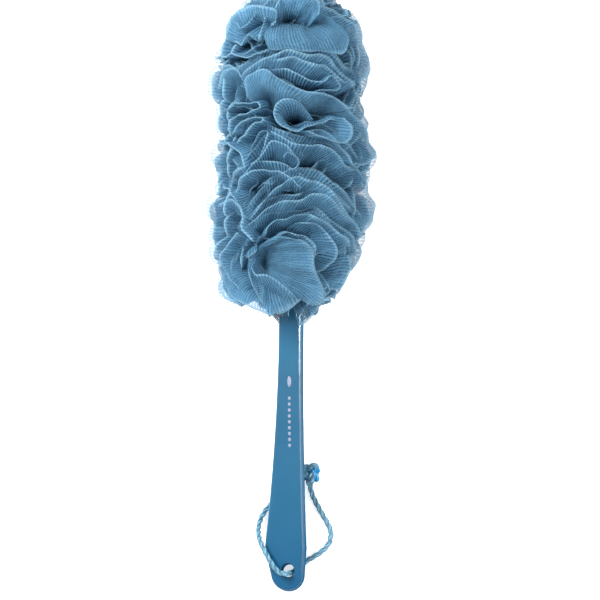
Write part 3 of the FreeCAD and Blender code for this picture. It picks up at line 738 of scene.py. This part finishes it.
def face_folds():
    """The folds that show on the face of the head, tail end first: which bunch, the throat, then
    along the lip."""
    # round the lower gather
    petal(
        1, (-36, 49, 66),
        [
            (-14, 49, 60), (-4, 53, 62), (5, 55, 62), (11, 52, 62), (15, 44, 61), (18, 34, 59),
            (20, 24, 56), (24, 16, 52), (21, 9, 47), (14, 6, 44), (8, 9, 46),
        ],
        under=0, density=0.62, wave=0.8, puff=1.8, spread=0.1, tone=0.4,
    )
    petal(
        1, (-30, 56, 62),
        [
            (-25, 45, 60), (-31, 40, 60), (-30, 31, 59), (-27, 19, 55), (-22, 9, 48), (-17, 3, 43),
            (-11, 0, 40), (-5, 1, 40), (1, 5, 42), (8, 10, 44),
        ],
        under=0, density=0.58, wave=0.8, puff=1.8, spread=0.12, tone=0.4,
    )
    petal(
        1, (-14, 8, 52),
        [(-27, 34, 60), (-24, 28, 61), (-18, 28, 62), (-11, 25, 61), (-4, 20, 59), (2, 14, 55)],
        under=0, density=0.4, wave=0.4, puff=1.4, tone=0.5,
    )
    petal(
        1, (-32, 34, 38),
        [
            (-52, 36, 54), (-55, 30, 56), (-54, 22, 56), (-51, 16, 54), (-46, 11, 51), (-39, 9, 47),
            (-31, 9, 43), (-25, 11, 40),
        ],
        under=0, density=0.36, wave=0.2, puff=3, spread=0.7, curl=0, fine=1,
    )
    petal(
        1, (-28, 42, 46),
        [(-40, 60, 54), (-49, 50, 55), (-51, 38, 54), (-46, 26, 52), (-36, 14, 48)],
        density=0.5,
    )
    petal(
        1, (-30, 24, 44),
        [(-50, 24, 52), (-44, 14, 52), (-34, 7, 50), (-22, 2, 48), (-12, -2, 46)],
        density=0.55,
    )
    petal(
        1, (14, 34, 46),
        [(19, 31, 48), (27, 21, 50), (36, 20, 52), (42, 31, 53), (43, 43, 53)],
        under=0, density=0.5,
    )
    petal(
        1, (9, 14, 22),
        [(5, -7, 20), (9, -6, 22), (13, -3, 25), (17, 2, 28), (20, 7, 32), (22, 13, 36)],
        under=0, density=0.34, wave=0.2, puff=2.4, spread=0.7, curl=0, fine=1,
    )
    petal(
        2, (-14, 46, 46),
        [(-20, 47, 55), (-11, 55, 59), (1, 60, 61), (10, 57, 61), (17, 46, 59), (18, 34, 54)],
        under=0,
    )
    petal(
        2, (2, 47, 46),
        [
            (4, 66, 58), (14, 67, 60), (24, 60, 59), (31, 51, 58), (33, 42, 56), (27, 34, 53),
            (18, 29, 48),
        ],
    )
    petal(
        2, (-10, 52, 46),
        [
            (-27, 49, 54), (-18, 61, 59), (-3, 70, 61), (10, 73, 62), (22, 68, 61), (37, 58, 57),
            (43, 49, 53),
        ],
    )
    petal(
        2, (-8, 58, 47),
        [
            (-33, 61, 53), (-23, 70, 57), (-12, 78, 60), (6, 84, 61), (22, 86, 60), (34, 79, 58),
            (44, 66, 53),
        ],
        tone=0.6,
    )
    petal(
        2, (-30, 58, 52),
        [(-50, 82, 53), (-44, 84, 56), (-37, 79, 59), (-34, 66, 59), (-28, 52, 57)],
        under=0, puff=2.6, spread=0.45,
    )
    # between the gathers
    petal(
        3, (-4, 70, 48),
        [
            (-30, 68, 55), (-16, 86, 60), (2, 98, 62), (9, 99, 62), (21, 93, 61), (33, 84, 59),
            (42, 71, 56), (50, 60, 53),
        ],
        tone=0.6,
    )
    petal(3, (-14, 86, 48), [(-42, 89, 52), (-34, 101, 57), (-20, 104, 61), (-2, 99, 62), (8, 92, 61)])
    petal(
        3, (-18, 96, 46),
        [(-43, 85, 50), (-29, 108, 56), (-17, 122, 60), (-4, 121, 61), (3, 111, 59)],
    )
    petal(3, (2, 104, 44), [(-14, 131, 57), (-3, 124, 60), (14, 122, 61), (31, 117, 59), (44, 104, 55)])
    petal(
        3, (-28, 84, 46),
        [(-53, 98, 53), (-46, 90, 56), (-40, 79, 57), (-32, 70, 57), (-24, 66, 56)],
        under=0, puff=2.2,
    )
    petal(
        3, (26, 90, 44),
        [(41, 108, 55), (53, 97, 56), (58, 83, 58), (57, 71, 58), (51, 62, 55)],
        under=0, density=0.42,
    )
    petal(
        3, (0, 106, 50),
        [(-8, 110, 61), (-4, 116, 63), (3, 114, 63), (5, 107, 62), (-1, 102, 61)],
        under=0, puff=1.2,
    )
    # round the upper gather
    petal(
        4, (9, 139, 59),
        [
            (15, 139, 58), (5, 149, 62), (-4, 152, 63), (-12, 149, 62), (-14, 142, 62),
            (-9, 135, 63), (1, 132, 64), (15, 136, 62), (31, 141, 57),
        ],
        under=0, density=0.62, spread=0.6, wave=0.5, tone=0.5,
    )
    petal(
        4, (-10, 152, 62),
        [
            (-33, 158, 54), (-31, 170, 57), (-20, 175, 61), (-5, 164, 62), (14, 159, 62),
            (32, 155, 59), (45, 149, 54),
        ],
        under=0, density=0.75, puff=2.2, wave=0.5, tone=0.6,
    )
    petal(
        4, (8, 136, 56),
        [(38, 143, 56), (42, 135, 58), (40, 126, 59), (29, 122, 60), (12, 128, 61)],
        density=0.72,
    )
    petal(
        4, (-18, 130, 48),
        [
            (-46, 131, 52), (-38, 138, 57), (-30, 142, 61), (-22, 142, 63), (-23, 137, 62),
            (-31, 133, 58), (-42, 123, 54),
        ],
        under=0, puff=1.3,
    )
    petal(
        4, (-20, 116, 46),
        [
            (-36, 110, 54), (-28, 125, 59), (-22, 132, 62), (-17, 131, 62), (-18, 124, 61),
            (-24, 110, 57),
        ],
        under=0, puff=1.3,
    )
    petal(
        4, (-22, 148, 46),
        [
            (-51, 150, 52), (-41, 153, 56), (-31, 154, 59), (-24, 150, 62), (-27, 146, 61),
            (-40, 142, 56),
        ],
        under=0, puff=1.3,
    )
    petal(
        4, (-30, 120, 46),
        [(-54, 128, 53), (-46, 124, 56), (-38, 116, 57), (-34, 106, 57)],
        density=0.6,
    )
    petal(
        4, (24, 130, 46),
        [(38, 150, 53), (48, 140, 56), (56, 128, 58), (60, 119, 61), (54, 111, 57), (44, 106, 54)],
        density=0.55,
    )
    petal(4, (10, 120, 48), [(10, 133, 58), (24, 130, 60), (38, 119, 59), (47, 106, 56), (51, 95, 54)])
    petal(
        5, (-12, 154, 44),
        [
            (-35, 154, 52), (-35, 169, 54), (-29, 179, 57), (-16, 186, 60), (2, 188, 61),
            (20, 186, 60), (32, 179, 57), (44, 167, 54),
        ],
        tone=0.6,
    )
    petal(
        5, (-6, 156, 44),
        [(-28, 172, 55), (-20, 181, 57), (-8, 183, 60), (7, 183, 60), (23, 178, 59), (38, 169, 55)],
        under=0,
    )
    petal(
        5, (2, 158, 44),
        [(-16, 174, 54), (-3, 176, 57), (8, 171, 58), (19, 168, 58), (29, 171, 57), (33, 166, 54)],
        under=0,
    )
    petal(
        5, (6, 154, 42),
        [(-8, 169, 52), (4, 164, 54), (16, 160, 56), (27, 162, 55), (33, 168, 53)],
        under=0,
    )
    petal(
        5, (-30, 154, 46),
        [(-55, 160, 55), (-52, 172, 57), (-44, 178, 58), (-37, 173, 58), (-35, 162, 57)],
    )
    petal(
        6, (6, 212, 64),
        [
            (-22, 194, 57), (-19, 189, 59), (-10, 187, 61), (2, 187, 62), (15, 188, 61),
            (28, 186, 60), (37, 188, 58), (40, 196, 56), (37, 204, 53),
        ],
        under=0, density=0.66, puff=2.2, wave=0.8, spread=0.75, tone=0.5,
    )
    petal(
        6, (-24, 196, 56),
        [
            (-48, 199, 52), (-45, 212, 53), (-35, 221, 55), (-23, 222, 57), (-13, 217, 58),
            (-13, 207, 58),
        ],
        density=0.6, under=1, spread=0.45,
    )
    petal(
        6, (-22, 206, 56),
        [
            (-47, 200, 50), (-40, 196, 55), (-33, 201, 58), (-26, 197, 60), (-21, 204, 59),
            (-20, 213, 57),
        ],
        under=0, spread=0.5,
    )
    petal(
        6, (-30, 208, 52),
        [(-44, 214, 51), (-37, 208, 55), (-30, 212, 57), (-24, 219, 56)],
        under=0, density=0.4,
    )
    petal(
        6, (0, 208, 52),
        [(-15, 219, 55), (-10, 227, 51), (4, 230, 50), (17, 226, 50), (19, 214, 54)],
        density=0.6,
    )
    petal(
        6, (14, 192, 48),
        [(17, 222, 48), (36, 216, 48), (47, 205, 50), (53, 189, 53), (52, 175, 53), (46, 166, 52)],
        under=1, density=0.42, wave=0.6,
    )
    petal(
        6, (-28, 194, 40),
        [(-45, 192, 48), (-51, 202, 51), (-48, 213, 50), (-40, 219, 48)],
        under=0, density=0.34,
    )
    petal(
        6, (-26, 184, 44),
        [(-56, 190, 54), (-48, 188, 56), (-38, 187, 57), (-24, 188, 58)],
        density=0.6,
    )


# The scalloped outline on each side: how far along the stem each lobe is, how far out, and half its length.
LEFT_LOBES = [
    (207, 50, 9), (188, 56, 9), (168, 63, 10), (151, 56, 8), (139, 57, 7), (126, 54, 7), (114, 59, 7),
    (103, 57, 7), (91, 56, 7), (78, 62, 9), (64, 61, 8), (50, 59, 8), (38, 54, 9), (24, 53, 10),
]
RIGHT_LOBES = [
    (204, 46, 10), (185, 52, 10), (163, 50, 9), (147, 48, 8), (132, 52, 8), (118, 60, 9), (101, 56, 8),
    (80, 58, 10), (63, 54, 9), (46, 45, 9), (30, 40, 10),
]


def nearest_bunch(along):
    return int(np.clip(round((along - FIRST_TIE / MM) / (PITCH / MM)), 0, BUNCHES - 1))


# The four folds of a side lobe: degrees round the stem from the face, share of its reach, and cover.
SIDE_LAYERS = [(64, 0.90, 0.62), (78, 0.97, 0.5), (91, 1.0, 0.26), (106, 0.95, 0.5)]
# The netting of the left lobes covers this much more.
LEFT_COVER = 0.14


def side_folds():
    """The lobes that stand out on each side of the head."""
    for lobes, way, more in ((LEFT_LOBES, -1, LEFT_COVER), (RIGHT_LOBES, 1, 0)):
        for along, out, half in lobes:
            for turn, share, cover in SIDE_LAYERS:
                lean = math.radians(turn + RANDOM.uniform(-5, 5)) * way
                shift = RANDOM.uniform(-4, 4)
                lip = []
                for step in (-1, -0.62, 0, 0.62, 1):
                    reach = out * share * (1 - 0.17 * step**4 - 0.04 * step**2)
                    lip.append(around_stem(lean + 0.06 * step, along + shift + step * half * 1.4, reach))
                throat = around_stem(lean - 0.05 * way, along + shift, out * 0.6)
                fold(
                    nearest_bunch(along), throat, lip, density=cover + more, puff=2.4, wave=0.25,
                    spread=0.6, rows=14, fine=1.0, curl=0,
                )


# Folds set this many degrees apart round the stem never line up.
GOLDEN_TURN = 137.5


def random_folds(bunch, number, turns, radii, half, density, fine, rows, stretch=0.62):
    """Folds set round the stem, each with its lip lying its own way."""
    start = RANDOM.uniform(0, 360)
    along = (FIRST_TIE + bunch * PITCH) / MM
    made = 0
    step = 0
    while made < number:
        step += 1
        turn = (start + GOLDEN_TURN * step) % 360 - 180
        if not turns[0] <= abs(turn) <= turns[1]:
            continue
        made += 1
        radius = RANDOM.uniform(*radii)
        reach = half * RANDOM.uniform(0.75, 1.25)
        slant = RANDOM.uniform(-1.25, 1.25)
        offset = RANDOM.uniform(-stretch, stretch) * PITCH / MM
        bend = RANDOM.uniform(-0.35, 0.35)
        angle = math.radians(turn)
        lip = []
        for at in (-1, -0.6, -0.2, 0.2, 0.6, 1):
            wiggle = 3.0 * math.sin(3.1 * at + 7 * bend)
            shift = at * reach * math.sin(slant) + bend * reach * at**2 + wiggle * math.cos(slant)
            spin = (at * reach * math.cos(slant) - wiggle * math.sin(slant)) / radius
            place = min(max(along + offset + shift, LIP_PLACES[0]), LIP_PLACES[1])
            out = min(radius * (1 - 0.10 * at**4), hull(place) - 4)
            lip.append(around_stem(angle + spin, place, out))
        throat = around_stem(angle + RANDOM.uniform(-0.35, 0.35), along + 0.4 * offset, radius * 0.62)
        fold(bunch, throat, lip, density=density, puff=1.6, wave=1.3, spread=0.42, rows=rows, fine=fine)


def end_folds():
    """Folds of the last bunch that close over the stem's end."""
    for step in range(10):
        angle = math.radians(GOLDEN_TURN * step)
        radius = 8 + 2.8 * step
        along = 231 - 0.008 * radius**2
        spin = 20 / (radius + 6)
        lip = []
        for at in (-1, -0.5, 0, 0.5, 1):
            lip.append(around_stem(angle + at * spin, along - 2 * at**2, radius))
        throat = around_stem(angle, 225, max(20, 0.8 * radius))
        fold(BUNCHES - 1, throat, lip, density=0.6, puff=1.5, wave=1.2, spread=0.8, rows=12, fine=0.9)


def inner_ruffles(bunch, radius):
    """Closely pleated discs of netting round the stem, which fill the bunch behind its folds."""
    discs, around, rows = 4, 156, 8
    turn = np.linspace(-math.pi, math.pi, around, endpoint=False)[None, :]
    v = np.linspace(0, 1, rows)[:, None]
    for disc in range(discs):
        phase = RANDOM.uniform(0, 2 * math.pi, 3)
        pleats = RANDOM.integers(9, 14)
        lean = (disc - (discs - 1) / 2) * PITCH / MM / discs
        sway = 5.5 * np.sin(pleats * turn + phase[0]) + 2.5 * np.sin(2.3 * pleats * turn + phase[1])
        edge = radius * (0.93 + 0.07 * np.sin(5 * turn + phase[2]))
        out = ROOT_RADIUS / MM + (edge - ROOT_RADIUS / MM) * v
        along = (FIRST_TIE + bunch * PITCH) / MM + 1.2 * lean * np.minimum(v * 1.6, 1) + sway * v
        out = np.minimum(out, np.interp(along, HULL_PLACES, HULL_RADII) - 7)
        way = np.cos(turn)[..., None] * FACING + np.sin(turn)[..., None] * SIDE
        middle = NECK + (along * MM)[..., None] * STEM + (out * MM)[..., None] * way
        swell = np.sin(math.pi * np.clip(v, 0, 1)) ** 0.4 + 0 * turn
        half = (0.6 * MM * swell)[..., None] * STEM
        front, behind = middle + half, (middle - half)[1:-1]
        index = np.arange(rows * around).reshape(rows, around)
        other = index.copy()
        other[1:-1] = rows * around + np.arange((rows - 2) * around).reshape(rows - 2, around)
        quads = []
        for grid, turned in ((index, False), (other, True)):
            beside = np.roll(grid, -1, axis=1)
            quad = np.stack((grid[:-1], beside[:-1], beside[1:], grid[1:]), -1).reshape(-1, 4)
            quads.append(quad[:, ::-1] if turned else quad)
        across = (turn + math.pi) / (2 * math.pi) * 90 * RIB_PITCH / MM
        pair = np.stack((across + 0 * v, v * radius + 0 * turn), axis=-1)
        # How near the rim a point is, for both the denser hem and the painted highlight along the rim.
        lip_hem_and_highlight = np.clip((v - 0.93) / 0.07, 0, 1) + 0 * turn
        colour = np.stack((0.9 + 0 * lip_hem_and_highlight, lip_hem_and_highlight, 0.1 + 0 * lip_hem_and_highlight, 1 + 0 * lip_hem_and_highlight), axis=-1)
        NETS[bunch].add(
            settle(np.concatenate((front.reshape(-1, 3), behind.reshape(-1, 3)))), np.concatenate(quads),
            np.concatenate((pair.reshape(-1, 2), pair[1:-1].reshape(-1, 2))),
            np.concatenate((colour.reshape(-1, 4), colour[1:-1].reshape(-1, 4))),
        )


def make_netting():
    face_folds()
    side_folds()
    end_folds()
    cloth = netting_material()
    for bunch in range(BUNCHES):
        low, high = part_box(f"mesh_pouf_{bunch + 1}")
        out = (high.x - low.x) / 2 / MM
        random_folds(bunch, 14, (62, 180), (out * 0.78, out * 0.9), 22, 0.55, 1.1, 15)
        random_folds(bunch, 9, (0, 75), (out * 0.70, out * 0.84), 24, 0.75, 1.2, 13, 0.5)
        random_folds(bunch, 6, (0, 180), (out * 0.5, out * 0.7), 16, 0.9, 1.6, 10, 0.45)
        inner_ruffles(bunch, out * 0.68)
        net = NETS[bunch]
        piece = make_object(
            f"netting_bunch_{bunch + 1}", np.concatenate(net.vertices), np.concatenate(net.faces),
            np.concatenate(net.uvs), np.concatenate(net.colours),
        )
        piece.data.materials.append(cloth)
        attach(piece, "brush")
        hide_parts(f"mesh_pouf_{bunch + 1}")


make_netting()


# ---------------------------------------------------------------- ties

def make_ties():
    """Each bunch is tied on with a turn of twisted nylon cord."""
    material = cord_material("tie_nylon_cord", (0.03, 0.12, 0.24), (0.12, 0.30, 0.46), 0.4)
    for number, centre in enumerate(TIE_CENTRES, 1):
        low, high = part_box(f"tie_cord_{number}")
        thick = 2.4 * MM
        ring = (high.x - low.x) / 2 - thick / 2
        angle = np.linspace(0, 2 * math.pi, 160, endpoint=False)[:, None]
        line = centre + ring * (np.cos(angle) * FACING + np.sin(angle) * SIDE)
        tie = rope(f"tie_turn_{number}", line, thick, 7 * MM, closed=True, around=18)
        tie.data.materials.append(material)
        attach(tie, "brush")
        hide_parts(f"tie_cord_{number}")


make_ties()


# ---------------------------------------------------------------- floor and light

def make_stage():
    material, tree = new_material("pale_floor")
    tone = noise(tree, 3, 2, object_space(tree))
    colour = mix_colour(tree, tone, (0.93, 0.93, 0.935), (0.95, 0.95, 0.95))
    shader = node(tree, "ShaderNodeBsdfPrincipled", {
        "Base Color": colour, "Roughness": 0.5, "Specular IOR Level": 0.3,
        "Emission Color": (1, 1, 1, 1), "Emission Strength": 0.6,
    })
    finish_material(tree, shader.outputs[0])
    half = 12
    corners = [(x, y, FLOOR_Z) for x, y in ((-half, -half), (half, -half), (half, half), (-half, half))]
    floor = make_object("floor", corners, [(0, 1, 2, 3)])
    floor.data.materials.append(material)


def area_light(name, place, aim, size, power, diffuse=True):
    data = bpy.data.lights.new(name, "AREA")
    data.shape = "RECTANGLE"
    data.size, data.size_y = size
    data.energy = power
    light = bpy.data.objects.new(name, data)
    light.location = place
    light.visible_diffuse = diffuse
    light.rotation_euler = (Vector(aim) - Vector(place)).to_track_quat("-Z", "Y").to_euler()
    SCENE.collection.objects.link(light)


# The studio: even light from all round, and three lamps with their power in watts.
SKY_STRENGTH = 0.5
KEY_POWER = 46
FILL_POWER = 12
EDGE_POWER = 40


def make_light():
    """A large key lamp on the left, a weaker one on the right, and a narrow strip for the shine."""
    world = bpy.data.worlds.new("studio")
    world.use_nodes = True
    world.node_tree.nodes["Background"].inputs["Color"].default_value = (1, 1, 1, 1)
    world.node_tree.nodes["Background"].inputs["Strength"].default_value = SKY_STRENGTH
    SCENE.world = world
    area_light("key", (-0.7, 0.6, 1.35), (0, 0.02, 0), (0.7, 0.7), KEY_POWER)
    area_light("fill", (1.1, -0.5, 0.9), (0, -0.02, 0), (0.8, 0.8), FILL_POWER)
    area_light("edge", (0.95, -0.05, 1.15), (0, -0.08, 0.03), (0.12, 0.9), EDGE_POWER, diffuse=False)
    SCENE.view_settings.view_transform = "Standard"
    SCENE.cycles.transparent_max_bounces = 48
    SCENE.cycles.max_bounces = 8
    SCENE.cycles.diffuse_bounces = 4


make_stage()
make_light()
